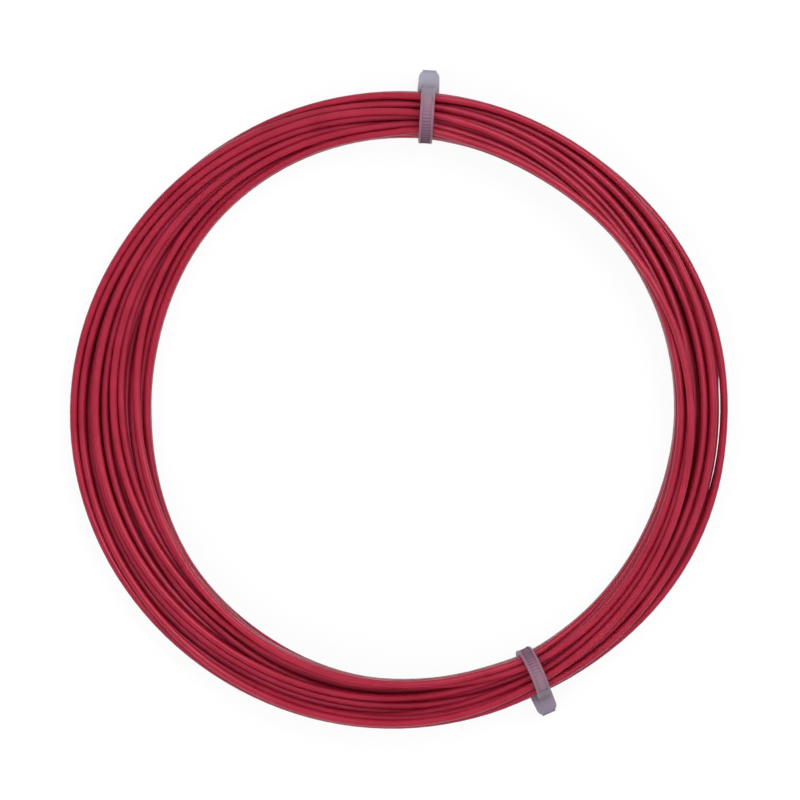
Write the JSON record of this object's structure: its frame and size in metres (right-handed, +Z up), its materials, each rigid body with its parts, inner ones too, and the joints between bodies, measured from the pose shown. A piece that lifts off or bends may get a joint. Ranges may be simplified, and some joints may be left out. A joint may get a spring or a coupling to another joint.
{
  "type": "racket string coil",
  "caption": "Flat round coil of glossy monofilament racket string, bundled and held by small translucent cable ties.",
  "frame": {"origin": "the middle of the coil's box seen from above, on the surface that the coil lies on", "axes": "+Z up, out of the flat coil; +X to the right and +Y towards the top of a view from straight above with one tie at the top"},
  "size_m": [0.1143, 0.115, 0.0119],
  "materials": {
    "string": "smooth glossy polyester monofilament, slightly see-through deep red",
    "tie_nylon": "natural uncoloured nylon, translucent, satin"
  },
  "bodies": {
    "coil": {"string_coil": "string", "string_core": "string", "upper_tie_strap": "tie_nylon", "upper_tie_head": "tie_nylon", "lower_tie_strap": "tie_nylon", "lower_tie_head": "tie_nylon"},
    "upper_pawl": {"upper_tie_pawl": "tie_nylon"},
    "lower_pawl": {"lower_tie_pawl": "tie_nylon"}
  },
  "joints": [
    {"name": "upper_pawl_hinge", "type": "hinge", "parent": "coil", "child": "upper_pawl", "pos_m": [0.00493, 0.05424, 0.00175], "axis": [-0.998, 0.0628, 0], "range_deg": [0, 16], "stiffness_Nm_per_rad": 0.0015},
    {"name": "lower_pawl_hinge", "type": "hinge", "parent": "coil", "child": "lower_pawl", "pos_m": [0.02474, -0.05244, 0.00162], "axis": [0.9157, 0.4019, 0], "range_deg": [0, 16], "stiffness_Nm_per_rad": 0.0015}
  ]
}
